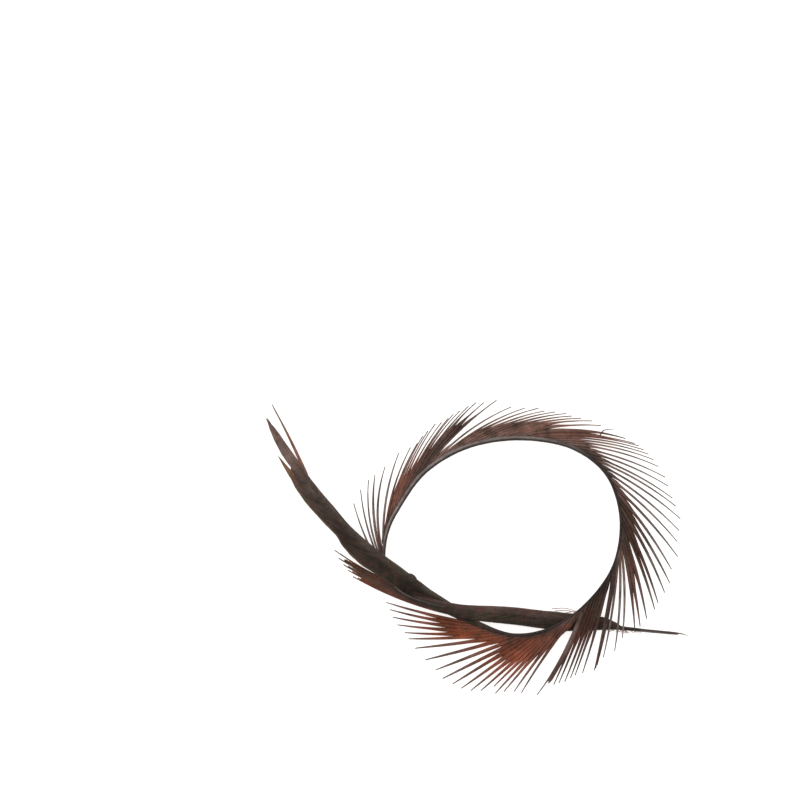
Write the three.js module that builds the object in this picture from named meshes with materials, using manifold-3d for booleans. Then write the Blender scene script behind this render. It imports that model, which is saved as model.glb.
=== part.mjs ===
// A pheasant's tail feather, stripped thin and curled into a ring, lying on a table.
// The feather grew in one piece: its shaft, the closed vane along the straight stretches and the
// splayed barbs around the ring are joined into one solid. Millimetres, +Z up, table at z = 0.
import * as THREE from "three";
import { mergeVertices } from "three/addons/utils/BufferGeometryUtils.js";
import Module from "manifold-3d";

const wasm = await Module();
wasm.setup();

// ---- Driving dimensions ----

// The shaft's course from the quill's end to the feather's tip. It runs straight, turns sharply,
// goes once round the ring, passes under itself and climbs over the ring's start to the tip.
const SHAFT_COURSE = [
  [72.3, -31.2, 1.4], [51.8, -29.2, 1.6], [27.7, -26.2, 1.8], [11.5, -24.3, 2.4],
  [-2.9, -22.7, 4.4], [-17.3, -19.8, 5.6], [-26.3, -16.6, 4.8], [-31.5, -12.0, 3.4],
  [-34.0, -4.8, 2.2], [-33.0, 6.0, 2.8], [-28.7, 15.0, 4.2], [-19.5, 27.6, 6.0],
  [-4.3, 36.7, 6.6], [15.5, 39.8, 6.8], [34.2, 36.2, 6.8], [46.1, 26.5, 6.8],
  [51.1, 11.0, 6.8], [48.4, -6.3, 6.6], [38.1, -20.5, 6.4], [25.2, -29.2, 6.0],
  [12.6, -31.4, 4.6], [0.7, -27.5, 3.0], [-10.5, -20.8, 1.5], [-20.9, -13.7, 2.6],
  [-29.9, -6.6, 4.8], [-39.5, 0.9, 5.4], [-50.3, 10.8, 4.8], [-60.9, 24.0, 3.2],
  [-69.5, 36.2, 2.0], [-76.0, 46.6, 1.2],
];

// The shrivelled point that trails from the quill's end.
const QUILL_POINT = { centre: [76.2, -32.0, 0.9], size: 0.12 };

// Along the shaft, as [distance from the quill's end, half width, half thickness].
const SHAFT_SIZE = [[0, 0.45, 0.4], [4, 0.8, 0.8], [70, 1.0, 1.0], [330, 0.9, 0.9], [426, 0.25, 0.25]];

// The barbs that splay outward from the curled stretch, as
// [distance along the shaft, length, lean from the shaft in degrees, bend over the length].
const BARB_KEYS = [
  [80, 34, 0, 4], [88, 34, 0, 8], [97, 28, 1, 10], [102, 26, 3, 8], [107, 30, 7, 16],
  [117, 33, 9, 20], [128, 34, 12, 24], [137, 34, 17, 24], [148, 33, 19, 24], [156, 34, 12, 26],
  [173, 34, 16, 26], [195, 34, 16, 24], [207, 34, 16, 22], [216, 34, 19, 18], [226, 34, 24, 14],
  [242, 34, 25, 12], [250, 34, 20, 10], [262, 34, 22, 6], [276, 34, 23, 0], [287, 34, 15, 0],
  [296, 34, 21, 0], [306, 34, 15, -3], [318, 34, 15, -6],
];
const FIRST_BARB = 80;
const LAST_BARB = 321;
const LOCK_STEP = 3.4;
const LOCK_SIZE = [[0, 1.3, 0.45], [0.45, 1.0, 0.4], [0.8, 0.5, 0.3], [1, 0.15, 0.2]];
const TIP_HEIGHTS = [0.3, 9.5, 3.6];

// The closed vane, as [distance, offset outward from the shaft, half width, half thickness].
const BASE_VANE = [
  [19, -0.3, 0.9, 0.9], [24, 0.2, 2.5, 1.8], [45, 0.2, 2.6, 2.1], [62, 0.2, 2.6, 1.8],
  [80, 0.1, 2.4, 1.5], [90, 0.2, 1.9, 1.3], [98, 0.4, 1.2, 1.0],
];
const TIP_VANE = [
  [312, 0.4, 1.1, 0.9], [326, 1.4, 2.1, 1.2], [338, 2.3, 3.0, 1.3], [352, 2.8, 3.4, 1.5],
  [367, 2.9, 3.6, 1.6], [383, 2.5, 3.1, 1.5], [398, 2.2, 2.8, 1.3], [408, 1.4, 2.2, 1.1],
  [418, 0.4, 1.5, 0.8], [426, 0.0, 0.4, 0.3],
];

// Ragged locks along the tip vane's outer edge, as [distance, length, lean, bend].
const FRINGE = [
  [326, 33, 9, -3], [333, 33, 10, 2], [341, 32, 10, 4], [350, 33, 12, 13], [358, 33, 11, 14],
  [367, 32, 11, 16], [377, 31, 10, 17], [386, 31, 8, 14],
];
const TIP_BARB = [396, 33, -5, 7];

const SHAFT_SIDES = 6;
const VANE_SIDES = 10;
const LOCK_SIDES = 4;
const SHAFT_STEP = 4.5;
const VANE_STEP = 6;
const LOCK_STEPS = 4;
const TABLE_BLOCK = [400, 400, 60];

// ---- The shaft as a measured line ----

const shaftPoints = SHAFT_COURSE.map(([x, y, z]) => new THREE.Vector3(x, y, z));
const shaftLine = new THREE.CatmullRomCurve3(shaftPoints, false, "centripetal");
shaftLine.arcLengthDivisions = 3000;
const SHAFT_LENGTH = shaftLine.getLength();
const UP = new THREE.Vector3(0, 0, 1);

function radians(degrees) {
  return (degrees * Math.PI) / 180;
}

// The value of every column of a table of keys at one distance, straight between its rows.
function between(keys, distance) {
  const next = keys.findIndex((row) => row[0] >= distance);
  if (next === 0) return keys[0].slice(1);
  if (next < 0) return keys[keys.length - 1].slice(1);
  const [low, high] = [keys[next - 1], keys[next]];
  const share = (distance - low[0]) / (high[0] - low[0]);
  return low.slice(1).map((value, i) => value + (high[i + 1] - value) * share);
}

// A place on the shaft, with its direction of growth and its outward side.
function onShaft(distance) {
  const share = THREE.MathUtils.clamp(distance / SHAFT_LENGTH, 0, 1);
  const along = shaftLine.getTangentAt(share);
  const side = new THREE.Vector3().crossVectors(UP, along).normalize();
  return { centre: shaftLine.getPointAt(share), along, side };
}

// ---- Closed lofts ----

// A station is { centre, along, side, width, thickness }; its section is an ellipse drawn with
// a few flat sides, and a short nose closes the loft at both ends.
function loft(stations, sides) {
  const nose = 0.1;
  const vertices = [];
  const triangles = [];
  for (const { centre, along, side, width, thickness } of stations) {
    const rise = new THREE.Vector3().crossVectors(along, side).normalize();
    for (let i = 0; i < sides; i += 1) {
      const angle = (2 * Math.PI * i) / sides;
      const point = centre.clone();
      point.addScaledVector(side, width * Math.cos(angle));
      point.addScaledVector(rise, thickness * Math.sin(angle));
      vertices.push(point.x, point.y, point.z);
    }
  }
  const first = stations[0];
  const last = stations[stations.length - 1];
  const start = first.centre.clone().addScaledVector(first.along, -nose);
  const end = last.centre.clone().addScaledVector(last.along, nose);
  vertices.push(start.x, start.y, start.z, end.x, end.y, end.z);
  const startIndex = stations.length * sides;
  const lastRing = (stations.length - 1) * sides;
  for (let i = 0; i < sides; i += 1) {
    const next = (i + 1) % sides;
    for (let row = 0; row < lastRing; row += sides) {
      triangles.push(row + i, row + next, row + sides + next);
      triangles.push(row + i, row + sides + next, row + sides + i);
    }
    triangles.push(startIndex, next, i);
    triangles.push(startIndex + 1, lastRing + i, lastRing + next);
  }
  return solid(vertices, triangles);
}

function solid(vertices, triangles) {
  const mesh = new wasm.Mesh({
    numProp: 3,
    vertProperties: new Float32Array(vertices),
    triVerts: new Uint32Array(triangles),
  });
  return new wasm.Manifold(mesh);
}

// ---- The feather's parts ----

function shaft() {
  const { along, side } = onShaft(0);
  const point = new THREE.Vector3(...QUILL_POINT.centre);
  const stations = [{ centre: point, along, side, width: QUILL_POINT.size, thickness: QUILL_POINT.size }];
  const count = Math.round(SHAFT_LENGTH / SHAFT_STEP);
  for (let i = 0; i <= count; i += 1) {
    const distance = (SHAFT_LENGTH * i) / count;
    const [width, thickness] = between(SHAFT_SIZE, distance);
    stations.push({ ...onShaft(distance), width, thickness });
  }
  return loft(stations, SHAFT_SIDES);
}

function closedVane(keys) {
  const stations = [];
  const [start, end] = [keys[0][0], keys[keys.length - 1][0]];
  const count = Math.round((end - start) / VANE_STEP);
  for (let i = 0; i <= count; i += 1) {
    const distance = start + ((end - start) * i) / count;
    const [offset, width, thickness] = between(keys, distance);
    const place = onShaft(distance);
    place.centre.addScaledVector(place.side, offset);
    stations.push({ ...place, width, thickness });
  }
  return loft(stations, VANE_SIDES);
}

// A lock of barbs: it leaves the shaft at a lean, bends as it goes, and its tip is at a height.
function lock(distance, length, lean, bend, tipHeight) {
  const { centre, along } = onShaft(distance);
  const heading = Math.atan2(along.y, along.x) + radians(lean);
  const fall = (tipHeight - centre.z) / length;
  const stations = [];
  const point = centre.clone();
  for (let i = 0; i <= LOCK_STEPS; i += 1) {
    const share = i / LOCK_STEPS;
    const angle = heading - radians(bend) * share;
    const [width, thickness] = between(LOCK_SIZE, share);
    const direction = new THREE.Vector3(Math.cos(angle), Math.sin(angle), fall).normalize();
    const side = new THREE.Vector3().crossVectors(UP, direction).normalize();
    stations.push({ centre: point.clone(), along: direction, side, width, thickness });
    const ahead = angle - radians(bend) / LOCK_STEPS / 2;
    const stride = new THREE.Vector3(Math.cos(ahead), Math.sin(ahead), fall);
    point.addScaledVector(stride, length / LOCK_STEPS);
  }
  return loft(stations, LOCK_SIDES);
}

function splayedLocks() {
  const locks = [];
  const count = Math.round((LAST_BARB - FIRST_BARB) / LOCK_STEP);
  for (let i = 0; i <= count; i += 1) {
    const distance = FIRST_BARB + ((LAST_BARB - FIRST_BARB) * i) / count;
    const [length, lean, bend] = between(BARB_KEYS, distance);
    locks.push(lock(distance, length, lean, bend, TIP_HEIGHTS[i % TIP_HEIGHTS.length]));
  }
  return locks;
}

function edgeLocks() {
  const locks = FRINGE.map(([distance, length, lean, bend]) => {
    return lock(distance, length, lean, bend, 1.2);
  });
  const [distance, length, lean, bend] = TIP_BARB;
  locks.push(lock(distance, length, lean, bend, 1.6));
  return locks;
}

function aboveTable(body) {
  const block = new THREE.BoxGeometry(...TABLE_BLOCK);
  block.translate(0, 0, TABLE_BLOCK[2] / 2);
  block.deleteAttribute("normal");
  block.deleteAttribute("uv");
  const merged = mergeVertices(block);
  return body.intersect(solid(merged.attributes.position.array, merged.index.array));
}

function geometryOf(body) {
  const mesh = body.getMesh();
  const geometry = new THREE.BufferGeometry();
  geometry.setAttribute("position", new THREE.BufferAttribute(mesh.vertProperties, 3));
  geometry.setIndex(new THREE.BufferAttribute(mesh.triVerts, 1));
  geometry.computeVertexNormals();
  return geometry;
}

function feather() {
  const pieces = [closedVane(BASE_VANE), closedVane(TIP_VANE), ...splayedLocks(), ...edgeLocks()];
  const body = pieces.reduce((joined, piece) => joined.add(piece), shaft());
  const material = new THREE.MeshStandardMaterial({ color: 0x46372e, roughness: 0.55, metalness: 0 });
  const mesh = new THREE.Mesh(geometryOf(aboveTable(body)), material);
  mesh.name = "feather";
  return mesh;
}

const part = new THREE.Group();
part.add(feather());

export default part;
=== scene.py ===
import math

import bpy
import numpy as np
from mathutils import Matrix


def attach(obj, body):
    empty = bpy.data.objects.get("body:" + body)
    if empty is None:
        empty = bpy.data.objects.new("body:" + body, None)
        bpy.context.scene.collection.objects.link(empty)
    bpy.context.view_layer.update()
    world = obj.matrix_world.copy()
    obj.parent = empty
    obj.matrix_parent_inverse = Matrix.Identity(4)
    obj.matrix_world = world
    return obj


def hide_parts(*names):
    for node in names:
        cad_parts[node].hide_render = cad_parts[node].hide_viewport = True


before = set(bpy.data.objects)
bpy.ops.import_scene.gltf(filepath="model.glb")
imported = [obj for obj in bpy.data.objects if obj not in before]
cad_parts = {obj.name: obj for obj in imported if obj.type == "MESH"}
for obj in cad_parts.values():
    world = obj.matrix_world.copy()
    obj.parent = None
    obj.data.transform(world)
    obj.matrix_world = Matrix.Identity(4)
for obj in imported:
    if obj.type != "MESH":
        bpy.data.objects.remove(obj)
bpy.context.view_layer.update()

# A stripped pheasant tail feather, curled into a ring and lying on a white lit table.
# Shapes are worked out in millimetres and written to meshes in metres.
MM = 0.001
UP = np.array([0.0, 0.0, 1.0])
# The middles of strands stay this far above the table, and every point at least half as far.
TABLE_GAP = 0.12
random = np.random.default_rng(11)

# ---- Driving dimensions ----

# The shaft's course from the quill's end to the feather's tip, as the part's source has it.
SHAFT_COURSE = np.array([
    [72.3, -31.2, 1.4], [51.8, -29.2, 1.6], [27.7, -26.2, 1.8], [11.5, -24.3, 2.4],
    [-2.9, -22.7, 4.4], [-17.3, -19.8, 5.6], [-26.3, -16.6, 4.8], [-31.5, -12.0, 3.4],
    [-34.0, -4.8, 2.2], [-33.0, 6.0, 2.8], [-28.7, 15.0, 4.2], [-19.5, 27.6, 6.0],
    [-4.3, 36.7, 6.6], [15.5, 39.8, 6.8], [34.2, 36.2, 6.8], [46.1, 26.5, 6.8],
    [51.1, 11.0, 6.8], [48.4, -6.3, 6.6], [38.1, -20.5, 6.4], [25.2, -29.2, 6.0],
    [12.6, -31.4, 4.6], [0.7, -27.5, 3.0], [-10.5, -20.8, 1.5], [-20.9, -13.7, 2.6],
    [-29.9, -6.6, 4.8], [-39.5, 0.9, 5.4], [-50.3, 10.8, 4.8], [-60.9, 24.0, 3.2],
    [-69.5, 36.2, 2.0], [-76.0, 46.6, 1.2],
])
# The quill's shrivelled point, as offsets from the shaft's first place, and where it ends.
SHRIVELLED = np.array([[-0.6, 0.05, 0.1], [1.2, -0.1, -0.15], [2.6, -0.55, -0.3]])
QUILL_POINT = np.array([76.2, -32.0, 0.9])

# Along the shaft, as [distance from the quill's end, offset outward, half width, half thickness,
# strength of the painted highlight on its outward half and painted shade on its inner half].
SHAFT_SIZE = np.array([
    [0, 0.1, 0.45, 0.45, 0.35], [3, 0.1, 0.56, 0.6, 0.4], [12, 0.1, 0.6, 0.7, 0.4],
    [24, 0.0, 0.8, 0.8, 0.4], [84, 0.0, 0.42, 0.95, 0.35], [98, 0.0, 0.36, 0.8, 0.3],
    [112, -0.1, 0.56, 0.8, 0.5], [127, -0.35, 0.74, 0.85, 1.0], [165, -0.4, 0.88, 0.9, 0.9],
    [200, -0.4, 0.85, 0.9, 0.75], [213, -0.3, 0.7, 0.9, 0.3], [225, -0.1, 0.6, 0.85, 0.05],
    [250, 0.0, 0.48, 0.5, 0.0], [258, 0.0, 0.34, 0.3, 0.0], [284, 0.0, 0.34, 0.3, 0.0],
    [296, 0.0, 0.6, 0.8, 0.0], [330, 0.0, 0.7, 0.8, 0.15], [400, 0.0, 0.45, 0.45, 0.1],
    [426, 0.0, 0.1, 0.12, 0.1],
])
SHAFT_STEPS = 620
SHAFT_SIDES = 20

# The splayed barbs, as [root's distance along the shaft, tip x, tip y, share of the length that
# stays joined to the next barb].
BARBS = np.array([
    # Six loose barbs beside the strip.
    [107.1, -44.7, 15.8, 0.04], [110.1, -42.3, 20.8, 0.04], [113.0, -39.5, 24.2, 0.04],
    [115.0, -37.1, 26.2, 0.04], [117.5, -33.4, 29.2, 0.04], [121.0, -28.6, 34.1, 0.10],
    # The left of the ring, ending in a dark fused spike.
    [124.5, -24.3, 36.1, 0.38], [129.0, -21.8, 37.5, 0.38], [131.5, -19.8, 40.2, 0.37],
    [133.5, -18.0, 42.0, 0.37], [135.5, -15.3, 44.4, 0.38], [137.5, -13.2, 45.0, 0.39],
    [139.5, -10.8, 46.5, 0.40], [141.5, -9.0, 47.9, 0.42], [143.5, -6.7, 49.2, 0.43],
    [145.5, -3.6, 50.8, 0.46], [147.5, -0.9, 52.1, 0.66], [149.5, 1.9, 52.2, 0.64],
    [151.5, 6.5, 53.0, 0.19],
    # Over the top of the ring.
    [156.0, 11.9, 50.6, 0.14], [158.5, 16.7, 50.3, 0.42], [162.0, 21.6, 50.1, 0.43],
    [165.0, 23.7, 49.1, 0.47], [168.5, 27.7, 48.8, 0.46], [172.0, 31.7, 48.2, 0.49],
    [175.5, 33.8, 47.4, 0.52], [179.0, 37.1, 46.5, 0.55], [182.5, 40.7, 45.6, 0.50],
    [186.0, 43.9, 43.9, 0.34],
    # The upper right of the ring, whose web is cut off short.
    [188.0, 52.5, 39.3, 0.60], [191.2, 55.8, 37.6, 0.46], [194.4, 57.4, 36.6, 0.38],
    [197.4, 59.2, 35.3, 0.30], [200.3, 61.2, 33.7, 0.26], [203.2, 63.1, 31.7, 0.23],
    [206.1, 64.8, 29.3, 0.22], [208.9, 67.2, 25.3, 0.21], [211.6, 68.1, 22.2, 0.18],
    [214.6, 69.6, 17.9, 0.15],
    # Five single barbs at the right.
    [217.5, 70.9, 15.0, 0.08], [220.5, 72.4, 10.5, 0.08], [223.5, 72.0, 6.3, 0.08],
    [226.5, 71.2, 2.4, 0.11], [229.2, 71.3, -3.0, 0.17],
    # The dark triangle at the right, with two fused locks.
    [231.5, 69.1, -7.5, 0.24], [234.2, 68.6, -12.5, 0.26], [237.0, 66.9, -16.0, 0.26],
    [239.7, 64.6, -19.7, 0.46], [242.0, 63.5, -22.2, 0.20],
    [244.3, 60.8, -25.7, 0.46], [246.3, 58.4, -28.3, 0.60], [248.0, 56.4, -29.2, 0.06],
    # Three single barbs and the dark lock that crosses the quill.
    [250.0, 51.9, -32.5, 0.10], [252.3, 48.9, -36.9, 0.05], [253.6, 44.9, -39.2, 0.30],
    [255.3, 42.5, -42.0, 0.97], [256.7, 42.0, -43.0, 0.97], [258.1, 41.4, -43.8, 0.14],
    # Barbs that cross the closed vane.
    [262.0, 37.3, -44.8, 0.54], [264.5, 34.8, -45.7, 0.51], [267.0, 33.4, -46.9, 0.49],
    [269.7, 31.2, -48.4, 0.47], [272.3, 29.1, -48.7, 0.46], [274.8, 27.2, -49.4, 0.20],
    # The bottom of the ring, left of a wedge where barbs are missing.
    [279.8, 15.4, -51.9, 0.44], [283.0, 12.8, -51.5, 0.50], [285.3, 9.2, -51.5, 0.54],
    [287.5, 6.1, -52.2, 0.54], [289.0, 5.6, -49.8, 0.52], [291.0, 1.0, -51.5, 0.50],
    [293.3, -2.6, -51.4, 0.46], [295.5, -6.0, -50.7, 0.42], [297.7, -9.1, -49.0, 0.32],
    [299.7, -12.8, -47.1, 0.23], [301.7, -15.2, -43.9, 0.18], [303.9, -18.9, -40.3, 0.25],
    [306.5, -22.7, -36.2, 0.32], [308.7, -25.1, -32.9, 0.49], [310.6, -26.4, -30.7, 0.50],
    [312.6, -29.0, -28.0, 0.45], [314.5, -30.7, -25.4, 0.44], [316.3, -31.7, -22.7, 0.46],
    [318.0, -33.1, -20.1, 0.05],
])

# How the splayed barbs change round the ring, as [root's distance, bend in degrees, half width,
# red with its painted glow, dark, tip height].
BARB_LOOKS = np.array([
    [107, 21, 0.36, 0.1, 0.0, 3.2], [110, 24, 0.36, 0.1, 0.0, 4.6], [113, 30, 0.36, 0.1, 0.0, 3.4],
    [115, 27, 0.50, 0.5, 0.0, 5.0], [117.5, 34, 0.44, 0.5, 0.0, 4.0], [121, 24, 0.42, 0.2, 0.0, 5.2],
    [126.5, 24, 0.33, 0.5, 0.0, 5.0], [134, 23, 0.30, 0.6, 0.0, 4.4], [139.5, 22, 0.30, 0.4, 0.2, 5.6],
    [144, 22, 0.32, 0.3, 0.3, 7.0], [147, 20, 0.42, 0.2, 0.5, 7.8], [150.5, 18, 0.42, 0.1, 0.5, 8.6],
    [153, 20, 0.38, 0.1, 0.2, 8.8], [156, 26, 0.33, 0.1, 0.0, 8.6], [160, 26, 0.36, 0.3, 0.0, 7.8],
    [168, 26, 0.38, 0.3, 0.0, 5.8], [176, 26, 0.38, 0.3, 0.0, 4.8], [182, 25, 0.38, 0.4, 0.0, 6.0],
    [186, 24, 0.38, 0.4, 0.0, 7.2], [188, 32, 0.56, 0.4, 0.1, 8.8], [191, 24, 0.34, 0.7, 0.0, 8.2],
    [197, 22, 0.32, 0.5, 0.0, 7.4], [203, 22, 0.32, 0.2, 0.0, 5.6], [209, 20, 0.33, 0.1, 0.0, 4.4],
    [215, 18, 0.36, 0.1, 0.0, 5.0], [219, 16, 0.37, 0.1, 0.0, 6.5], [226, 14, 0.39, 0.2, 0.0, 8.6],
    [230, 13, 0.48, 0.2, 0.3, 8.4], [234, 12, 0.54, 0.3, 0.6, 7.0], [239.5, 11, 0.58, 0.4, 0.6, 5.0],
    [243, 10, 0.60, 0.4, 0.6, 4.2], [248, 9, 0.58, 0.4, 0.6, 5.2], [250, 14, 0.46, 0.2, 0.1, 5.4],
    [252.5, 14, 0.48, 0.2, 0.1, 6.0], [254, 8, 0.44, 0.1, 0.6, 6.6], [258, 6, 0.50, 0.2, 0.9, 6.6],
    [262, 5, 0.50, 0.3, 0.8, 6.4], [268, 4, 0.52, 0.5, 0.8, 5.4], [274.8, 4, 0.52, 0.5, 0.6, 4.8],
    [279.8, -9, 0.52, 0.6, 0.3, 5.2], [283, -5, 0.56, 0.7, 0.2, 5.6], [287, -1, 0.60, 0.9, 0.1, 6.2],
    [293, 0, 0.62, 1.0, 0.0, 5.6], [300, 0, 0.66, 0.8, 0.1, 4.4], [303.9, 2, 0.64, 0.9, 0.1, 3.8],
    [306.5, 5, 0.62, 1.0, 0.0, 3.4], [312.6, 9, 0.58, 1.0, 0.0, 2.6], [316.3, 12, 0.56, 0.9, 0.0, 2.2],
    [318, 8, 0.54, 0.8, 0.0, 2.0],
])

# The tips also rise and fall in waves along the shaft, between a lowest and a highest place.
HEIGHT_WAVE = 1.3
WAVE_LENGTH = 23.0
LOWEST_TIP = 0.8
HIGHEST_TIP = 9.2

# How much the splayed barbs differ by chance, as standard deviations.
HEIGHT_CHANCE = 0.2
TIP_CHANCE = 0.06
BEND_CHANCE = 0.6
JOINED_CHANCE = 0.012

# A barb is a flat blade that starts narrow, widens where it is joined and tapers from TAPER_START,
# a share of its length.
ROOT_HALF_WIDTH = 0.5
MOST_HALF_WEB = 1.4
TAPER_START = 0.3
TIP_HALF_WIDTH = 0.19

# The rib along a blade's middle, and how far each place round the section is from it, as a share.
RIB_HALF_WIDTH = 0.2
RIB_TIP_HEIGHT = 0.08
RIB_ROOT_RISE = 0.12
RIB_SHOULDER = 0.35
FROM_RIB = np.array([1, 0.35, 0, 0.35, 1, 0.35, 0, 0.35])

# The web between two barbs, whose end is notched by a share of its length.
WEB_ROWS = 9
WEB_COLUMNS = 5
WEB_NOTCH = 0.16
WEB_SAG = 0.10
WEB_THICKNESS = 0.05

# Barbules leave the rib at BARBULE_LEAN degrees, and at up to WEB_LEAN more on a wide web.
BARBULE_SPACING = 0.24
BARBULE_FRINGE = 0.05
BARBULE_LEAN = 24
WEB_LEAN = 16
BARBULE_HEIGHT = 0.07
BARBULE_HALF_WIDTH = 0.07
LONGEST_BARBULE = 2.4

# The tuft that the base vane ends in, from its lower to its upper barbs, as
# [start x, start y, tip x, tip y, bend in degrees]. Barbs between these rows fall short of the tips.
TUFT = np.array([
    [-9.0, -24.2, -45.1, -10.6, 17], [-9.5, -23.3, -46.8, -8.3, 17], [-10.0, -22.4, -48.5, -6.3, 18],
    [-11.0, -21.0, -50.2, -4.0, 18], [-12.0, -19.9, -51.7, -1.1, 19],
])
TUFT_BARBS = 29
TUFT_START_HEIGHT = 4.2
TUFT_TIP_HEIGHT = 2.4
TUFT_STAGGER = 5.0
TUFT_HALF_WIDTH = 0.36

# Bundles of barbs, as [distance, offset outward from the shaft, half width, half thickness].
BASE_VANE = np.array([
    [18, 0.0, 0.8, 0.75], [20.4, 0.0, 0.85, 0.85], [23, -0.55, 1.65, 1.2], [24.5, -0.75, 1.95, 1.3],
    [27.2, -1.0, 2.6, 1.4], [32.6, -0.45, 2.85, 1.5], [40, 0.35, 3.3, 1.6], [50, 0.45, 3.25, 1.6],
    [61, 0.35, 3.15, 1.6], [70, 0.45, 2.9, 1.5], [78, 0.7, 2.5, 1.25], [84.6, 0.45, 2.1, 0.95],
    [90, 0.1, 1.6, 0.7], [97, 0.0, 0.9, 0.5],
])
TIP_VANE = np.array([
    [312, 0.4, 1.0, 0.8], [331.5, 1.2, 2.2, 1.1], [339.7, 2.1, 3.0, 1.2], [345, 2.5, 3.6, 1.3],
    [358.8, 2.88, 3.7, 1.4], [364.7, 3.2, 3.95, 1.5], [371, 3.05, 3.85, 1.5],
    [375.5, 2.6, 3.45, 1.45], [377.5, 2.0, 3.0, 1.4], [386, 1.9, 3.36, 1.3],
    [394.9, 2.4, 3.4, 1.1], [400, 2.3, 3.2, 0.8], [404, 2.2, 2.5, 0.4], [407, 1.4, 0.8, 0.2],
])
BLADE = np.array([
    [388, 0.5, 1.2, 0.9], [398, 0.6, 1.65, 0.8], [404, 0.65, 1.65, 0.6], [408.4, 0.8, 1.85, 0.45],
    [412.7, 0.9, 1.8, 0.4], [418.5, 0.65, 1.4, 0.3], [422.5, 0.55, 0.85, 0.22],
    [424.5, 0.5, 0.35, 0.18], [426.4, 0.45, 0.05, 0.12],
])
PRONG = np.array([
    [388, 3.8, 1.2, 0.8], [394, 3.85, 1.3, 0.8], [400, 3.9, 1.3, 0.7], [404, 3.92, 1.05, 0.5],
    [408, 3.92, 0.6, 0.35], [412.4, 3.94, 0.05, 0.12],
])

# A bundle is a core painted dark as shade, CORE_DEPTH under its surface, with strands wrapped round it.
CORE_DEPTH = 0.36
CORE_STEP = 0.8
CORE_SIDES = 20
WRAPPED_LENGTH = 33.0
STRAND_HALF_WIDTH = 0.27

# Locks that stand free of the closed vane: where each starts and ends, its width at both ends,
# its number of barbs, how far it bends, how far its tips are staggered, what share of it stays
# joined, its barbs' half width, and their colours.
FREE_LOCKS = [
    dict(start=(-61.8, 26.0, 3.2), tip=(-74.4, 51.6, 1.0), widths=(0.8, 0.1), number=3, bend=-6,
         stagger=1.5, joined=0.4, half_width=0.28, looks=dict(red=0.55, pink=0.2)),
    dict(start=(-37.6, -7.8, 3.0), tip=(-50.6, 3.6, 1.8), widths=(1.4, 0.3), number=5, bend=-6,
         stagger=4.0, joined=0.9, half_width=0.24, looks=dict(gold=0.5)),
    dict(start=(37.3, -23.2, 6.3), tip=(25.1, -48.7, 6.6), widths=(0.8, 1.1), number=6, bend=13,
         stagger=1.4, joined=0.98, half_width=0.32, looks=dict(red=0.2, dark=0.35, grey=0.15)),
    dict(start=(37.0, -22.8, 6.0), tip=(21.2, -53.0, 4.4), widths=(0.2, 0.1), number=1, bend=19,
         stagger=0.0, joined=0.5, half_width=0.48, looks=dict(grey=0.4)),
]

# A short fold of barbs that stands up on the closed vane's inner edge.
LUMP = dict(middle=(-24.0, -11.0, 3.6), heading=(-0.83, 0.56, 0.0), size=(1.9, 1.25, 1.0),
            strands=11, half_width=0.24)

# Loose hairs, each as a start, a middle and an end, with its half width and looks.
LOOSE_HAIRS = [
    ([[26.6, -22.1, 3.6], [31.6, -21.9, 4.2], [37.6, -23.8, 4.0]], 0.17, dict(pink=1.0)),
    ([[27.6, -22.9, 3.5], [32.6, -22.8, 3.9], [37.1, -24.4, 3.8]], 0.17, dict(pink=0.8)),
    ([[31.5, -23.6, 3.4], [34.5, -23.1, 3.8], [37.5, -23.7, 3.8]], 0.14, dict(pink=0.6, red=0.5)),
    ([[43.6, 40.6, 8.4], [44.8, 42.2, 8.8], [48.4, 42.5, 8.6]], 0.25, dict(gold=0.4, dark=0.35)),
]

# Fine down under the start of the vane: how many hairs, and between which distances along the
# shaft, lengths and heights.
DOWN = dict(number=60, distance=(14, 28), length=(1.2, 2.6), height=(0.5, 1.6), half_width=0.06)


# ---- The shaft as a measured line ----

def unit(vectors):
    """The same directions, with a length of 1."""
    return vectors / np.maximum(np.linalg.norm(vectors, axis=-1, keepdims=True), 1e-9)


def curve_through(points, steps=60):
    """A centripetal Catmull-Rom curve through the points, as the part's source draws it."""
    ends = 2 * points[0] - points[1], 2 * points[-1] - points[-2]
    p = np.vstack([ends[0], points, ends[1]])
    t = (np.arange(steps) / steps)[:, None]
    out = []
    for a, b, c, d in zip(p, p[1:], p[2:], p[3:]):
        first, middle, last = (math.sqrt(np.linalg.norm(v)) for v in (b - a, c - b, d - c))
        leave = ((b - a) / first - (c - a) / (first + middle) + (c - b) / middle) * middle
        reach = ((c - b) / middle - (d - b) / (middle + last) + (d - c) / last) * middle
        out.append((2 * t**3 - 3 * t**2 + 1) * b + (t**3 - 2 * t**2 + t) * leave
                   + (3 * t**2 - 2 * t**3) * c + (t**3 - t**2) * reach)
    return np.vstack([*out, points[-1:]])


LINE = curve_through(SHAFT_COURSE)
LINE_DISTANCE = np.concatenate([[0], np.cumsum(np.linalg.norm(np.diff(LINE, axis=0), axis=1))])
LINE_ALONG = unit(np.gradient(LINE, axis=0))
SHAFT_LENGTH = LINE_DISTANCE[-1]


def columns(table, distance):
    """Every column of a table of keys at some distances, straight between its rows."""
    return [np.interp(distance, table[:, 0], table[:, i]) for i in range(1, table.shape[1])]


def on_shaft(distance):
    """Places on the shaft, with the direction of growth and the outward side."""
    centre = np.stack([np.interp(distance, LINE_DISTANCE, LINE[:, i]) for i in range(3)], -1)
    along = np.stack([np.interp(distance, LINE_DISTANCE, LINE_ALONG[:, i]) for i in range(3)], -1)
    along = unit(along)
    return centre, along, unit(np.cross(UP, along))


def smooth(low, high, value):
    """A soft step from 0 at low to 1 at high. Where low is the larger, it falls as value rises."""
    t = np.clip((value - low) / (high - low), 0, 1)
    return t * t * (3 - 2 * t)


# ---- Meshes joined from arrays ----

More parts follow.
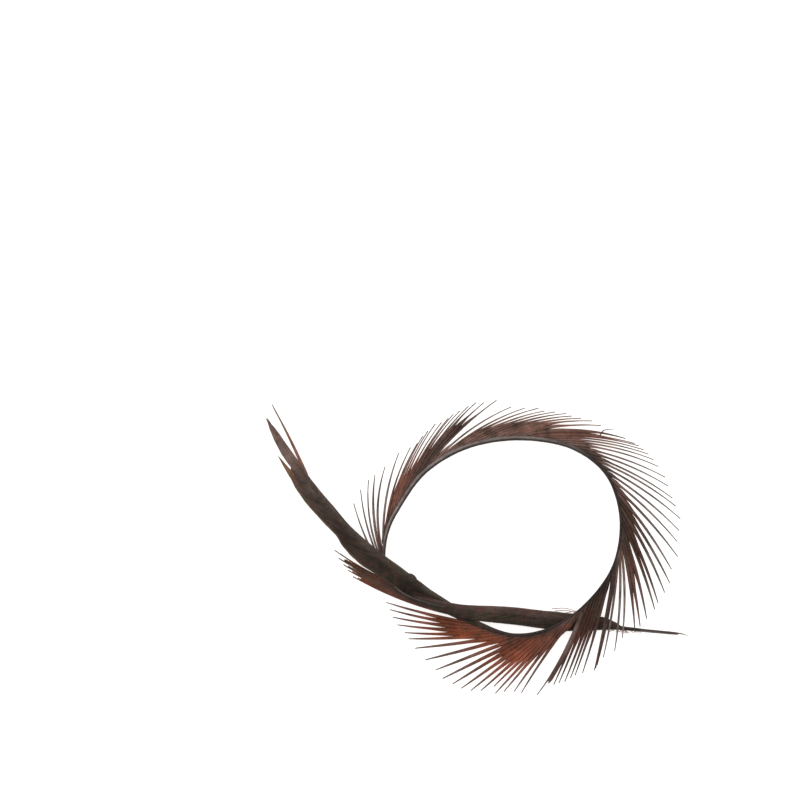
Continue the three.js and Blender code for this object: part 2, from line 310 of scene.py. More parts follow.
class Pile:
    """Vertices, faces and colour values gathered from many strands, written as one mesh."""

    VALUES = ("tone", "red", "grey", "gold", "dark", "pink")

    def __init__(self):
        self.points, self.quads, self.triangles, self.values = [], [], [], []
        self.count = 0

    def add(self, points, quads=None, triangles=None, **values):
        """Adds points, faces that number them from 0, and colour values, 0 where none is given."""
        size = len(points)
        self.points.append(points)
        if quads is not None:
            self.quads.append(quads + self.count)
        if triangles is not None:
            self.triangles.append(triangles + self.count)
        rows = [np.broadcast_to(values.get(name, 0.0), size) for name in self.VALUES]
        self.values.append(np.stack(rows, 1))
        self.count += size

    def write(self, name, material):
        """Makes the mesh, as a piece that rides on root and stands for the feather."""
        points = np.vstack(self.points) * MM
        points[:, 2] = np.maximum(points[:, 2], TABLE_GAP * MM * 0.5)
        quads = np.vstack(self.quads)
        triangles = np.vstack(self.triangles)
        corners = np.concatenate([quads.ravel(), triangles.ravel()])
        totals = np.concatenate([np.full(len(quads), 4), np.full(len(triangles), 3)])
        mesh = bpy.data.meshes.new(name)
        mesh.vertices.add(len(points))
        mesh.vertices.foreach_set("co", points.ravel())
        mesh.loops.add(len(corners))
        mesh.loops.foreach_set("vertex_index", corners)
        mesh.polygons.add(len(totals))
        mesh.polygons.foreach_set("loop_start", np.concatenate([[0], np.cumsum(totals)[:-1]]))
        mesh.polygons.foreach_set("loop_total", totals)
        mesh.polygons.foreach_set("use_smooth", np.ones(len(totals), bool))
        values = np.vstack(self.values)
        for i, title in enumerate(self.VALUES):
            layer = mesh.attributes.new(title, "FLOAT", "POINT")
            layer.data.foreach_set("value", np.ascontiguousarray(values[:, i], dtype=np.float32))
        mesh.update(calc_edges=True)
        mesh.validate()
        piece = bpy.data.objects.new(name, mesh)
        bpy.context.scene.collection.objects.link(piece)
        mesh.materials.append(material)
        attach(piece, "root")
        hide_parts("feather")
        print(name, "triangles", 2 * len(quads) + len(triangles))


def circle(sides):
    """Places across and up round a circle of radius 1."""
    angle = np.arange(sides) * 2 * math.pi / sides
    return np.stack([np.cos(angle), np.sin(angle)], 1)


def rings(width, thickness, profile):
    """Distances across and up for a profile scaled at each point of many paths."""
    return width[..., None] * profile[:, 0], thickness[..., None] * profile[:, 1]


def add_tubes(pile, paths, rises, across, up, **values):
    """Closed tubes round many paths of equally many points, each with a short nose at both ends.

    across and up place the points of the ring round each point of a path, and values hold a
    number for each path's point, or for each point of its ring.
    """
    count, steps, sides = across.shape
    along = unit(np.gradient(paths, axis=1))
    side = unit(np.cross(rises, along))
    rise = np.cross(along, side)
    ring = paths[:, :, None] + side[:, :, None] * across[..., None] + rise[:, :, None] * up[..., None]
    nose = 0.03
    tips = np.stack([paths[:, 0] - along[:, 0] * nose, paths[:, -1] + along[:, -1] * nose], 1)
    points = np.concatenate([ring.reshape(count, -1, 3), tips], 1)
    i = np.arange(sides)
    row = (np.arange(steps - 1) * sides)[:, None]
    after = (i + 1) % sides
    quads = np.stack(np.broadcast_arrays(row + i, row + after, row + sides + after,
                                         row + sides + i), -1).reshape(-1, 4)
    last = (steps - 1) * sides
    start = np.stack([np.full(sides, steps * sides), after, i], -1)
    end = np.stack([np.full(sides, steps * sides + 1), last + i, last + after], -1)
    triangles = np.vstack([start, end])
    shift = (np.arange(count) * points.shape[1])[:, None, None]
    spread = {}
    for name, value in values.items():
        value = np.asarray(value)
        value = value if value.ndim == 3 else value[..., None]
        value = np.broadcast_to(value, (count, steps, sides))
        ends = value[:, [0, -1]].mean(2)
        spread[name] = np.concatenate([value.reshape(count, -1), ends], 1).ravel()
    pile.add(points.reshape(-1, 3), (quads[None] + shift).reshape(-1, 4),
             (triangles[None] + shift).reshape(-1, 3), **spread)


def sampled(grid, share):
    """Values of many paths at shares of the way along each, straight between their points."""
    steps = grid.shape[1]
    place = np.clip(share, 0, 1) * (steps - 1)
    low = np.minimum(place.astype(int), steps - 2)
    part = (place - low).reshape(place.shape + (1,) * (grid.ndim - 2))
    strand = np.arange(len(grid))[:, None]
    return grid[strand, low] * (1 - part) + grid[strand, low + 1] * part


def add_sheets(pile, grids, thickness, **values):
    """Thin closed sheets over many grids of points, each grid rows by columns."""
    count, rows, cols = grids.shape[:3]
    half = UP * thickness / 2
    points = np.concatenate([(grids + half).reshape(count, -1, 3),
                             (grids - half).reshape(count, -1, 3)], 1)
    size = rows * cols
    number = np.arange(size).reshape(rows, cols)
    a, b = number[:-1, :-1].ravel(), number[:-1, 1:].ravel()
    c, d = number[1:, 1:].ravel(), number[1:, :-1].ravel()
    top = np.stack([a, b, c, d], -1)
    under = np.stack([d, c, b, a], -1) + size
    rim = np.concatenate([number[0, ::-1], number[1:, 0], number[-1, 1:], number[-2:0:-1, -1]])
    after = np.roll(rim, -1)
    wall = np.stack([rim, after, after + size, rim + size], -1)
    quads = np.vstack([top, under, wall])
    shift = (np.arange(count) * 2 * size)[:, None, None]
    spread = {}
    for name, value in values.items():
        value = np.broadcast_to(value, (count, rows, cols)).reshape(count, -1)
        spread[name] = np.concatenate([value, value], 1).ravel()
    pile.add(points.reshape(-1, 3), (quads[None] + shift).reshape(-1, 4), None, **spread)


# ---- Barbs ----

def arcs(start, tip, bend, steps=28):
    """Evenly bent centrelines from the starts to the tips, with the share of the way along."""
    chord = tip[:, :2] - start[:, :2]
    heading = np.arctan2(chord[:, 1], chord[:, 0])
    share = np.linspace(0, 1, steps)
    middle = share[:-1] + 0.5 / (steps - 1)
    turn = heading[:, None] + np.radians(bend)[:, None] * (0.5 - middle)
    stride = np.stack([np.cos(turn), np.sin(turn)], -1)
    plan = np.cumsum(np.concatenate([np.zeros((len(start), 1, 2)), stride], 1), 1)
    scale = np.linalg.norm(chord, axis=1) / np.linalg.norm(plan[:, -1], axis=1)
    plan = start[:, None, :2] + plan * scale[:, None, None]
    height = start[:, 2:] + (tip[:, 2:] - start[:, 2:]) * share**1.1
    height = np.maximum(height, TABLE_GAP + 0.1)
    return np.concatenate([plan, height[..., None]], 2), share


def upright(paths):
    """The way up, for every point of the paths."""
    return np.broadcast_to(UP, paths.shape)


def blade_sides(paths, share, joined, half_width):
    """Half widths of each blade to its left and right, as it grows.

    Barbs are numbered from left to right. Where two stay joined, each reaches just past halfway to
    the other. Beyond that both narrow to their free width, so that a sharp notch opens. Next to
    the shaft a blade is kept narrow, so that no web bulges over the shaft.
    """
    taper = np.clip((share - TAPER_START) / (1 - TAPER_START), 0, 1)**2.2
    free = np.maximum(half_width[:, None] * (1 - 0.7 * taper), TIP_HALF_WIDTH)
    side = unit(np.cross(UP, unit(np.gradient(paths, axis=1))))
    halfway = np.abs(((paths[1:] - paths[:-1]) * side[:-1]).sum(-1)) * 0.52
    halfway = np.minimum(halfway, MOST_HALF_WEB)
    split = joined[:-1, None]
    notch = np.minimum(0.03 + 0.4 * split, 0.16)
    closed = (1 - np.clip((share - split) / notch, 0, 1))**1.5
    left, right = free.copy(), free.copy()
    left[1:] += np.maximum(halfway - free[1:], 0) * closed
    right[:-1] += np.maximum(halfway - free[:-1], 0) * closed
    most = ROOT_HALF_WIDTH + MOST_HALF_WEB * smooth(0, 0.1, share)
    return np.minimum(left, most), np.minimum(right, most)


def add_webs(pile, paths, joined, looks):
    """The sheets that join neighbouring barbs up to their split."""
    across = np.linspace(0, 1, WEB_COLUMNS)
    edge = joined[:-1, None] * (1 - WEB_NOTCH * (1 - np.abs(2 * across - 1)))
    share = np.linspace(0.0, 1, WEB_ROWS)[None, :, None] * edge[:, None, :]
    flat = share.reshape(len(share), -1)
    first = sampled(paths[:-1], flat).reshape(*share.shape, 3)
    second = sampled(paths[1:], flat).reshape(*share.shape, 3)
    grids = first * (1 - across[:, None]) + second * across[:, None]
    grids[..., 2] -= WEB_SAG * np.sin(np.pi * across)
    shown = {name: sampled(value[:-1], flat).reshape(share.shape) for name, value in looks.items()}
    add_sheets(pile, grids, WEB_THICKNESS, **shown)


def add_barbules(pile, paths, widths, looks):
    """Short pointed barbules from the ribs to just past the blades' edges, as thin slivers.

    Those on a blade's left are set half a space away from those on its right.
    """
    count = len(paths)
    run = np.linalg.norm(np.diff(paths, axis=1), axis=2).sum(1).mean()
    number = int(run / BARBULE_SPACING)
    along = unit(np.gradient(paths, axis=1))
    side = unit(np.cross(UP, along))
    for hand, width in zip((1, -1), widths):
        share = (np.arange(number) + 0.5 + 0.25 * hand) / number
        share = np.clip(share[None] + random.normal(0, 0.2 / number, (count, number)), 0.001, 0.995)
        base, forward, outward = (sampled(grid, share) for grid in (paths, along, side))
        reach = sampled(width, share)
        lean = BARBULE_LEAN + WEB_LEAN * smooth(0.4, 1.0, reach)
        swing = np.radians(lean + random.normal(0, 3, share.shape))
        long = (reach + BARBULE_FRINGE) / np.sin(swing) * random.uniform(0.75, 1.1, share.shape)
        lift = random.normal(0, 0.05, share.shape)
        way = unit(forward * np.cos(swing)[..., None] + hand * outward * np.sin(swing)[..., None]
                   + UP * lift[..., None])
        base = (base + UP * BARBULE_HEIGHT).reshape(-1, 3)
        way = way.reshape(-1, 3)
        half = (BARBULE_HALF_WIDTH - 0.03 * share).reshape(-1, 1)
        across = unit(np.cross(UP, way))
        tip = base + way * np.minimum(long, LONGEST_BARBULE).reshape(-1, 1)
        corners = np.stack([base + across * half, base - across * half, base + UP * half * 0.6, tip], 1)
        faces = np.array([[0, 2, 3], [2, 1, 3], [1, 0, 3]])
        shift = (np.arange(len(base)) * 4)[:, None, None]
        shown = {name: np.repeat(sampled(value, share).ravel(), 4) for name, value in looks.items()}
        shown["tone"] = shown["tone"] + np.repeat(random.uniform(-0.4, 0.4, len(base)), 4)
        pile.add(corners.reshape(-1, 3), None, (faces[None] + shift).reshape(-1, 3), **shown)


def barb_colours(looks, share, joined):
    """Colour values along each barb: dark at its root, then red lightened by a painted glow, and grey
    past its webs.
    """
    share = np.broadcast_to(share, (len(joined), len(share)))
    fused = joined.copy()
    fused[1:] = np.maximum(joined[1:], joined[:-1])
    past = share - fused[:, None]
    colours = {}
    for name in Pile.VALUES:
        value = np.broadcast_to(looks.get(name, 0.0), len(joined))
        colours[name] = np.broadcast_to(value[:, None], share.shape)
    red = colours["red"]
    colours["red"] = red * smooth(0.0, 0.15, share) * (1 - 0.6 * smooth(0.15, 0.6, past))
    colours["dark"] = np.maximum(colours["dark"] * (1 - 0.7 * share), 0.45 * (1 - smooth(0, 0.2, share)))
    colours["grey"] = np.maximum(colours["grey"], 0.85 * smooth(0.05, 0.45, past) * (1 - 0.55 * red))
    return colours


def blade_section(left, right, share):
    """Places across and up round the section of each blade, from its left edge over the rib."""
    rib = np.minimum(RIB_HALF_WIDTH, 0.5 * np.minimum(left, right))
    zero = np.zeros_like(rib)
    crest = RIB_TIP_HEIGHT + RIB_ROOT_RISE * (1 - np.broadcast_to(share, rib.shape))
    shoulder = crest * RIB_SHOULDER
    across = np.stack([left, rib, zero, -rib, -right, -rib, zero, rib], -1)
    up = np.stack([zero, shoulder, crest, shoulder, zero, -shoulder, -crest, -shoulder], -1)
    return across, up


def add_barbs(pile, paths, share, joined, half_width, looks):
    """Ribbed blades with barbules along both edges, joined by webs near the shaft."""
    colours = barb_colours(looks, share, joined)
    sides = blade_sides(paths, share, joined, half_width)
    # The red, lightened as a painted glow, is strongest on the blades' thin edges away from the rib.
    red = colours["red"][..., None]
    ringed = dict(colours, red=red * (0.15 + 0.85 * FROM_RIB),
                  dark=colours["dark"][..., None] + 0.3 * red * (1 - FROM_RIB))
    add_tubes(pile, paths, upright(paths), *blade_section(*sides, share), **ringed)
    if len(paths) > 1:
        add_webs(pile, paths, joined, colours)
    add_barbules(pile, paths, sides, colours)


def splayed_barbs(pile):
    """The single barbs and the webs round the ring."""
    number = len(BARBS)
    distance, x, y, joined = BARBS.T
    bend, half_width, red, dark, high = columns(BARB_LOOKS, distance)
    high = high + HEIGHT_WAVE * np.sin(distance * 2 * math.pi / WAVE_LENGTH)
    high = np.clip(high + random.normal(0, HEIGHT_CHANCE, number), LOWEST_TIP, HIGHEST_TIP)
    webbed = joined > 0.12
    joined = np.where(webbed, joined + random.normal(0, JOINED_CHANCE, number), joined)
    centre, _, side = on_shaft(distance)
    shaft_offset, shaft_width, _, _ = columns(SHAFT_SIZE, distance)
    starts = centre + side * (shaft_offset + 0.5 * shaft_width)[:, None] + UP * 0.1
    tips = np.stack([x, y, high], 1) + random.normal(0, TIP_CHANCE, (number, 3)) * [1, 1, 0]
    paths, share = arcs(starts, tips, bend + random.normal(0, BEND_CHANCE, number))
    over_top = smooth(150, 158, distance) * smooth(214, 200, distance)
    looks = dict(tone=random.uniform(-1, 1, number), red=red, dark=dark, pink=0.3 * over_top)
    add_barbs(pile, paths, share, np.clip(joined, 0.03, 0.97), half_width, looks)


def tuft(pile):
    """The barbs at the end of the base vane, which run on past the shaft's turn."""
    rows = np.arange(len(TUFT))
    place = np.linspace(0, len(TUFT) - 1, TUFT_BARBS)
    start_x, start_y, tip_x, tip_y, bend = (np.interp(place, rows, column) for column in TUFT.T)
    starts = np.stack([start_x, start_y, np.full(TUFT_BARBS, TUFT_START_HEIGHT)], 1)
    tips = np.stack([tip_x, tip_y, np.full(TUFT_BARBS, TUFT_TIP_HEIGHT)], 1)
    short = TUFT_STAGGER * np.abs(np.sin(place * math.pi)) * random.uniform(0.8, 1.1, TUFT_BARBS)
    tips -= unit(tips - starts) * short[:, None]
    starts[:, 2] += random.uniform(-0.2, 0.2, TUFT_BARBS)
    paths, share = arcs(starts, tips, bend)
    near_edge = np.abs(2 * place / place[-1] - 1)
    looks = dict(tone=random.uniform(-1, 1, TUFT_BARBS), red=0.35 + 0.5 * near_edge,
                 dark=random.uniform(0.7, 1.1, TUFT_BARBS) * (1.2 - 0.5 * near_edge),
                 grey=0.2 * np.sin(2.3 * place)**2 * (1 - near_edge),
                 gold=0.3 * np.cos(3.1 * place)**2 * (1 - near_edge))
    joined = random.uniform(0.9, 0.95, TUFT_BARBS)
    add_barbs(pile, paths, share, joined, np.full(TUFT_BARBS, TUFT_HALF_WIDTH), looks)


def free_lock(pile, start, tip, widths, number, bend, stagger, joined, half_width, looks):
    """One lock of barbs side by side, the middle ones the longest and highest."""
    start, tip = np.array(start), np.array(tip)
    along = unit((tip - start) * [1, 1, 0])
    across = np.cross(UP, along)
    place = np.linspace(0.5, -0.5, number) if number > 1 else np.zeros(1)
    back = stagger * (np.abs(place) * 2)**1.4 + random.uniform(0, 0.15, number) * stagger
    crown = 0.25 * (1 - (2 * place)**2)
    starts = start + across * (place * widths[0])[:, None] + UP * crown[:, None]
    tips = tip + across * (place * widths[1])[:, None] - along * back[:, None]
    paths, share = arcs(starts, tips, np.full(number, float(bend)))
    shown = dict(looks, tone=random.uniform(-1, 1, number))
    add_barbs(pile, paths, share, np.full(number, joined), np.full(number, half_width), shown)


def loose_hairs(pile):
    """Stray hairs, thinner towards their ends."""
    for places, half_width, looks in LOOSE_HAIRS:
        path = curve_through(np.array(places), 8)[None]
        share = np.linspace(0, 1, path.shape[1])[None]
        width = half_width * (1 - 0.6 * share**2)
        add_tubes(pile, path, upright(path), *rings(width, width, circle(5)), **looks)


def down(pile):
    """Fine down along the underside of the quill, where the vane starts."""
    number = DOWN["number"]
    distance = random.uniform(*DOWN["distance"], number)
    centre, along, side = on_shaft(distance)
    start = centre + side * random.uniform(0.5, 0.9, number)[:, None] - UP * 0.3
    forward = along * random.choice([-1, 1], number)[:, None]
    reach = unit(side * random.uniform(0.3, 0.8, number)[:, None] + forward)
    tip = start + reach * random.uniform(*DOWN["length"], number)[:, None]
    tip[:, 2] = random.uniform(*DOWN["height"], number)
    paths, share = arcs(start, tip, random.uniform(-60, 60, number), 8)
    width = np.broadcast_to(DOWN["half_width"] * (1 - 0.5 * share), paths.shape[:2])
    add_tubes(pile, paths, upright(paths), *rings(width, width, circle(4)), pink=0.8, red=0.3)


# ---- The closed vane ----

def section(table, distance, angle, proud):
    """Points and outward normals on a bundle's elliptical section; angle 0 is its top.

    proud is how far the points stand out of the section.
    """
    centre, along, side = on_shaft(distance)
    rise = unit(np.cross(along, side))
    offset, width, thickness = columns(table, distance)
    middle = centre + side * offset[..., None]
    across, up = np.sin(angle), np.cos(angle)
    point = (middle + side * ((width + proud) * across)[..., None]
             + rise * ((thickness + proud) * up)[..., None])
    normal = unit(side * (across / np.maximum(width, 0.2))[..., None]
                  + rise * (up / np.maximum(thickness, 0.2))[..., None])
    return point, normal


def add_core(pile, table, **values):
    """The inside of a bundle of barbs, painted dark as shade, just under the barbs that wrap it."""
    steps = int((table[-1, 0] - table[0, 0]) / CORE_STEP)
    distance = np.linspace(table[0, 0], table[-1, 0], steps)
    centre, along, side = on_shaft(distance)
    rise = unit(np.cross(along, side))
    offset, width, thickness = columns(table, distance)
    width, thickness = (size - np.minimum(CORE_DEPTH, 0.4 * size) for size in (width, thickness))
    path = (centre + side * offset[:, None])[None]
    add_tubes(pile, path, rise[None], *rings(width[None], thickness[None], circle(CORE_SIDES)), **values)


def add_wrapping_barbs(pile, table, spacing, hand, finish, looks):
    """Barbs that leave the shaft, run nearly along it and wrap round one side of the bundle.

    hand is 1 for the outward side and -1 for the other, and finish is between which angles from the
    top they end, in degrees. looks gives colour values from the distance along the shaft and the
    angle round the bundle.
    """
    start, end = table[0, 0] - 4, table[-1, 0] - 3
    number = int((end - start) / spacing)
    root = np.linspace(start, end, number) + random.normal(0, spacing * 0.3, number)
    share = np.linspace(0, 1, 18)
    room = table[-1, 0] + 0.5 - root
    length = np.minimum(WRAPPED_LENGTH * random.uniform(0.85, 1.05, number), room)
    length = np.maximum(length, 3.0)
    distance = root[:, None] + length[:, None] * share
    offset, width, _ = columns(table, distance)
    leave = np.arcsin(np.clip(-offset / np.maximum(width, 0.3), -0.85, 0.85))
    arrive = np.radians(random.uniform(*finish, number))[:, None] * hand
    angle = leave + (arrive - leave) * share**0.85
    proud = random.uniform(-0.27, -0.1, number)[:, None] + 0.06 * np.sin(share * 9 + root[:, None])
    proud = proud * np.minimum(width, 1.0)
    points, normals = section(table, distance, angle, proud)
    points[..., 2] = np.maximum(points[..., 2], TABLE_GAP)
    strand = STRAND_HALF_WIDTH * (1 - 0.75 * smooth(0.75, 1.0, share)) * np.ones((number, 1))
    tone = random.uniform(-1, 1, number)[:, None]
    add_tubes(pile, points, normals, *rings(strand, strand * 0.5, circle(6)), tone=tone,
              **looks(distance, angle))


def base_vane(pile):
    """The closed vane between the quill and the tuft, redder on the side of the ring's middle, with
    painted highlight and shade.
    """
    def looks(distance, angle):
        inner = smooth(0.1, -0.9, np.sin(angle))
        outer = smooth(0.1, 0.9, np.sin(angle))
        near_quill = smooth(60, 40, distance)
        # Painted highlight: grey along the top of the inner side. Painted shade: the outward side darker.
        return dict(red=0.65 * inner, dark=0.6 * outer + 0.1 + 0.25 * near_quill,
                    grey=0.25 * inner * np.cos(angle))

    add_core(pile, BASE_VANE, tone=-1.0, dark=0.6)
    for hand in (1, -1):
        add_wrapping_barbs(pile, BASE_VANE, 0.42, hand, (70, 150), looks)


def tip_vane(pile):
    """The closed vane from the ring's end to the blade, golden along its outer edge, with a painted grey
    highlight along its inner side.
    """
    def looks(distance, angle):
        outer = smooth(0.8, 1.0, np.sin(angle)) * smooth(334, 350, distance)
        # Painted highlight: the inner side is painted grey and kept from the darkening.
        highlit_side = smooth(-0.15, -0.8, np.sin(angle))
        towards_tip = smooth(380, 405, distance)
        return dict(gold=0.8 * outer * (0.5 + 0.5 * np.sin(distance * 1.7)**2),
                    grey=0.45 * highlit_side + 0.3 * towards_tip * (1 - highlit_side),
                    red=0.2 * towards_tip + 0.1, dark=0.85 * smooth(385, 355, distance) * (1 - highlit_side))

    add_core(pile, TIP_VANE, tone=-1.0, dark=0.6)
    add_wrapping_barbs(pile, TIP_VANE, 0.36, 1, (78, 130), looks)
    add_wrapping_barbs(pile, TIP_VANE, 0.5, -1, (70, 150), looks)


def blade_and_prong(pile):
    """The thin end of the feather, and the short lock that stands off it."""
    def blade_looks(distance, angle):
        outer_end = smooth(394, 414, distance)
        return dict(grey=0.15 + 0.35 * outer_end, red=0.15 + 0.1 * outer_end, dark=0.8 - 0.55 * outer_end)

    def prong_looks(distance, angle):
        outer_end = smooth(394, 408, distance)
        return dict(gold=0.3 * outer_end, red=0.15 + 0.1 * outer_end, dark=0.8 - 0.6 * outer_end)

    for table, looks, spacing in ((BLADE, blade_looks, 0.55), (PRONG, prong_looks, 0.6)):
        add_core(pile, table, tone=-1.0, red=0.3)
        for hand in (1, -1):
            add_wrapping_barbs(pile, table, spacing, hand, (70, 110), looks)


def folded_lump(pile):
    """A small fold of barbs that stands up on the closed vane's inner edge."""
    middle, along = np.array(LUMP["middle"]), unit(np.array(LUMP["heading"]))
    inward = unit(np.cross(along, UP))
    long, wide, high = LUMP["size"]
    place = np.linspace(-1, 1, LUMP["strands"])
    round_off = np.sqrt(1.15 - place**2)[:, None]
    turn = np.linspace(-0.3, math.pi + 0.3, 14)
    paths = (middle + inward * (place * wide)[:, None, None]
             + along * (np.cos(turn) * round_off * long)[..., None]
             + UP * (np.sin(turn) * round_off * high)[..., None])
    rises = unit(paths - middle)
    width = np.full(paths.shape[:2], LUMP["half_width"])
    add_tubes(pile, paths, rises, *rings(width, width * 0.8, circle(6)),
              tone=random.uniform(-0.5, 1, len(place))[:, None], dark=0.1, grey=0.35)


# ---- The shaft ----

def shaft(pile):
    """The shaft: painted highlight outward and painted shade inward over the ring's left and top; dark
    further on.
    """
    distance = np.linspace(0, SHAFT_LENGTH, SHAFT_STEPS)
    centre, along, side = on_shaft(distance)
    offset, width, thickness, highlight_and_shade = columns(SHAFT_SIZE, distance)
    path = (centre + side * offset[:, None])[None]
    width = width * (1 + 0.02 * np.sin(distance * 0.9) + 0.015 * np.sin(distance * 2.3))
    profile = circle(SHAFT_SIDES)
    across, up = rings(width[None], thickness[None], profile)
    outward = smooth(-0.25, 0.2, profile[:, 0])
    # Painted highlight: the section's outward half is paler grey. Painted shade: its inner half is
    # darker.
    grey = highlight_and_shade[:, None] * (0.08 + 0.92 * outward)
    further_on = 0.8 * smooth(208, 222, distance) * (1 - 0.4 * smooth(292, 305, distance))
    dark = further_on[:, None] + 0.6 * highlight_and_shade[:, None] * (1 - outward)
    red = 0.7 * (1 - smooth(1, 6, distance))
    add_tubes(pile, path, unit(np.cross(along, side))[None], across, up,
              grey=grey[None], dark=dark[None], red=red[None], tone=-0.3)


def quill_point(pile):
    """The shrivelled point at the quill's end."""
    path = curve_through(np.vstack([SHAFT_COURSE[0] + SHRIVELLED, QUILL_POINT]), 8)[None]
    size = np.linspace(0.36, 0.07, path.shape[1])[None]
    add_tubes(pile, path, upright(path), *rings(size, size * 0.6, circle(6)), grey=0.8, red=0.3, tone=1.0)


# ---- Materials ----

def node(tree, kind, **settings):
    """A new shader node with its settings."""
    made = tree.nodes.new(kind)
    for name, value in settings.items():
        setattr(made, name, value)
    return made


def mixed(tree, factor, first, second, blend="MIX"):
    """A colour mix whose inputs are colours or sockets."""
    mix = node(tree, "ShaderNodeMix", data_type="RGBA", blend_type=blend)
    for socket, value in ((mix.inputs[0], factor), (mix.inputs[6], first), (mix.inputs[7], second)):
        if isinstance(value, bpy.types.NodeSocket):
            tree.links.new(value, socket)
        else:
            socket.default_value = value
    return mix.outputs[2]


def feather_material(name, colours, mottle, roughness):
    """Colours by the meshes' values, with patches, fine grain, varied roughness and bump.

    mottle holds pairs of a colour and the scale of the noise that lays it on in soft patches.
    """
    material = bpy.data.materials.new(name)
    material.use_nodes = True
    tree = material.node_tree
    shader = tree.nodes["Principled BSDF"]
    place = node(tree, "ShaderNodeTexCoord").outputs["Object"]

    def value(title):
        return node(tree, "ShaderNodeAttribute", attribute_name=title).outputs["Fac"]

    def noise(scale, detail):
        made = node(tree, "ShaderNodeTexNoise")
        made.inputs["Scale"].default_value = scale
        made.inputs["Detail"].default_value = detail
        tree.links.new(place, made.inputs["Vector"])
        return made.outputs["Fac"]

    def ranged(source, from_low, from_high, to_low, to_high):
        made = node(tree, "ShaderNodeMapRange")
        for title, number in (("From Min", from_low), ("From Max", from_high),
                              ("To Min", to_low), ("To Max", to_high)):
            made.inputs[title].default_value = number
        tree.links.new(source, made.inputs["Value"])
        return made.outputs["Result"]

    grain = noise(scale=900.0, detail=3.0)
    patch = noise(scale=130.0, detail=3.0)
    colour = mixed(tree, ranged(value("tone"), -1, 1, 0, 1), colours["low"], colours["body"])
    for title in ("red", "grey", "gold", "dark", "pink"):
        colour = mixed(tree, value(title), colour, colours[title])
    for tint, scale in mottle:
        colour = mixed(tree, ranged(noise(scale, 2.0), 0.5, 0.72, 0, 0.6), colour, tint)
    colour = mixed(tree, 1.0, colour, ranged(patch, 0.3, 0.7, 0.65, 1.35), "MULTIPLY")
    colour = mixed(tree, 1.0, colour, ranged(grain, 0, 1, 0.6, 1.4), "MULTIPLY")
    tree.links.new(colour, shader.inputs["Base Color"])
    tree.links.new(ranged(grain, 0, 1, roughness - 0.12, roughness + 0.12), shader.inputs["Roughness"])
    shader.inputs["Sheen Weight"].default_value = 0.05
    shader.inputs["Sheen Roughness"].default_value = 0.4
    shader.inputs["Sheen Tint"].default_value = (0.75, 0.6, 0.6, 1)
    shader.inputs["Specular IOR Level"].default_value = 0.18
    bump = node(tree, "ShaderNodeBump")
    bump.inputs["Strength"].default_value = 0.35
    bump.inputs["Distance"].default_value = 0.0002
    tree.links.new(grain, bump.inputs["Height"])
    tree.links.new(bump.outputs["Normal"], shader.inputs["Normal"])
    return material


def barb_material():
    # The red is the barbs' own red-brown, made lighter as a painted glow of the table's light through the
    # thin barbs and webs.
    return feather_material("barbs", dict(
        low=(0.140, 0.092, 0.078, 1), body=(0.290, 0.190, 0.162, 1), red=(0.520, 0.104, 0.030, 1),
        grey=(0.360, 0.290, 0.265, 1), gold=(0.360, 0.210, 0.090, 1), dark=(0.030, 0.020, 0.016, 1),
        pink=(0.560, 0.330, 0.270, 1)), mottle=[((0.070, 0.060, 0.035, 1), 210.0)], roughness=0.55)


def vane_material():
    return feather_material("closed_vane", dict(
        low=(0.028, 0.020, 0.014, 1), body=(0.098, 0.065, 0.048, 1), red=(0.145, 0.065, 0.060, 1),
        grey=(0.165, 0.145, 0.118, 1), gold=(0.340, 0.210, 0.070, 1), dark=(0.024, 0.020, 0.012, 1),
        pink=(0.500, 0.300, 0.250, 1)),
        mottle=[((0.048, 0.048, 0.028, 1), 230.0), ((0.100, 0.036, 0.028, 1), 420.0)], roughness=0.5)


def shaft_material():
    return feather_material("shaft", dict(
        low=(0.045, 0.034, 0.032, 1), body=(0.090, 0.068, 0.062, 1), red=(0.160, 0.055, 0.035, 1),
        grey=(0.340, 0.285, 0.268, 1), gold=(0.300, 0.200, 0.100, 1), dark=(0.040, 0.027, 0.022, 1),
        pink=(0.500, 0.300, 0.250, 1)), mottle=[((0.060, 0.042, 0.036, 1), 250.0)], roughness=0.4)


# ---- Table, light and camera ----

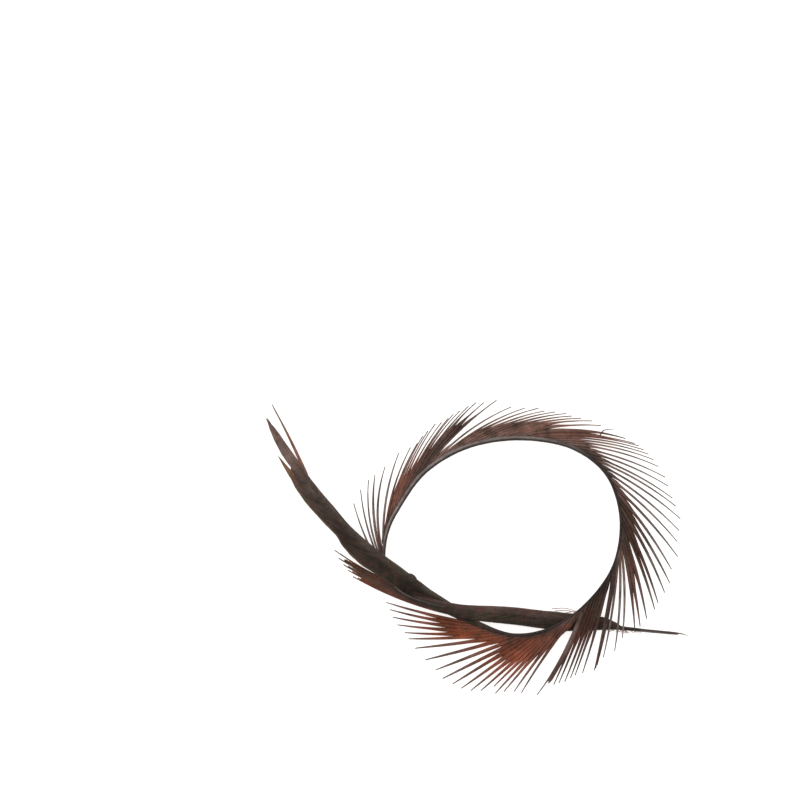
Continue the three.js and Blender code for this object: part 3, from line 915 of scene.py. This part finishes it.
def table():
    """The white lit table, as one square face at height 0."""
    half = 3.0
    mesh = bpy.data.meshes.new("table")
    corners = [(-half, -half, 0), (half, -half, 0), (half, half, 0), (-half, half, 0)]
    mesh.from_pydata(corners, [], [(0, 1, 2, 3)])
    floor = bpy.data.objects.new("table", mesh)
    bpy.context.scene.collection.objects.link(floor)
    material = bpy.data.materials.new("lit_table")
    material.use_nodes = True
    shader = material.node_tree.nodes["Principled BSDF"]
    shader.inputs["Base Color"].default_value = (0.9, 0.9, 0.89, 1)
    shader.inputs["Roughness"].default_value = 0.9
    shader.inputs["Emission Color"].default_value = (1.0, 1.0, 0.985, 1)
    shader.inputs["Emission Strength"].default_value = 0.75
    mesh.materials.append(material)


def lights():
    """Even light from all round, with a soft box above the upper left."""
    world = bpy.data.worlds.new("studio")
    bpy.context.scene.world = world
    world.use_nodes = True
    world.node_tree.nodes["Background"].inputs["Color"].default_value = (1, 1, 1, 1)
    world.node_tree.nodes["Background"].inputs["Strength"].default_value = 0.55
    lamp = bpy.data.lights.new("soft_box", "AREA")
    lamp.shape = "RECTANGLE"
    lamp.size, lamp.size_y = 0.9, 0.7
    lamp.energy = 3.0
    box = bpy.data.objects.new("soft_box", lamp)
    box.location = (-0.5, 0.6, 1.1)
    box.rotation_euler = (math.radians(-27), math.radians(-24), 0)
    bpy.context.scene.collection.objects.link(box)


def camera():
    """Straight down on the table, framed as the photograph: 288 mm across at framed_height."""
    frame_width, lens, sensor = 0.288, 100.0, 36.0
    middle = (-0.0281, 0.0531)
    framed_height = 0.004
    height = frame_width * lens / sensor + framed_height
    data = bpy.data.cameras.new("camera")
    data.lens, data.sensor_width = lens, sensor
    view = bpy.data.objects.new("camera", data)
    view.location = (*middle, height)
    bpy.context.scene.collection.objects.link(view)
    bpy.context.scene.camera = view


# ---- Build ----

def build():
    """All the feather's pieces. The order of the calls is the order of the random draws."""
    barbs, locks, base, tip, spine = (Pile() for _ in range(5))
    splayed_barbs(barbs)
    tuft(locks)
    for lock in FREE_LOCKS:
        free_lock(locks, **lock)
    blade_and_prong(locks)
    loose_hairs(locks)
    down(locks)
    base_vane(base)
    tip_vane(tip)
    folded_lump(tip)
    shaft(spine)
    quill_point(spine)
    barb_look, vane_look = barb_material(), vane_material()
    barbs.write("splayed_barbs", barb_look)
    locks.write("free_locks", barb_look)
    base.write("base_vane", vane_look)
    tip.write("tip_vane", vane_look)
    spine.write("shaft", shaft_material())


build()
table()
lights()
camera()
bpy.context.scene.view_settings.view_transform = "Standard"
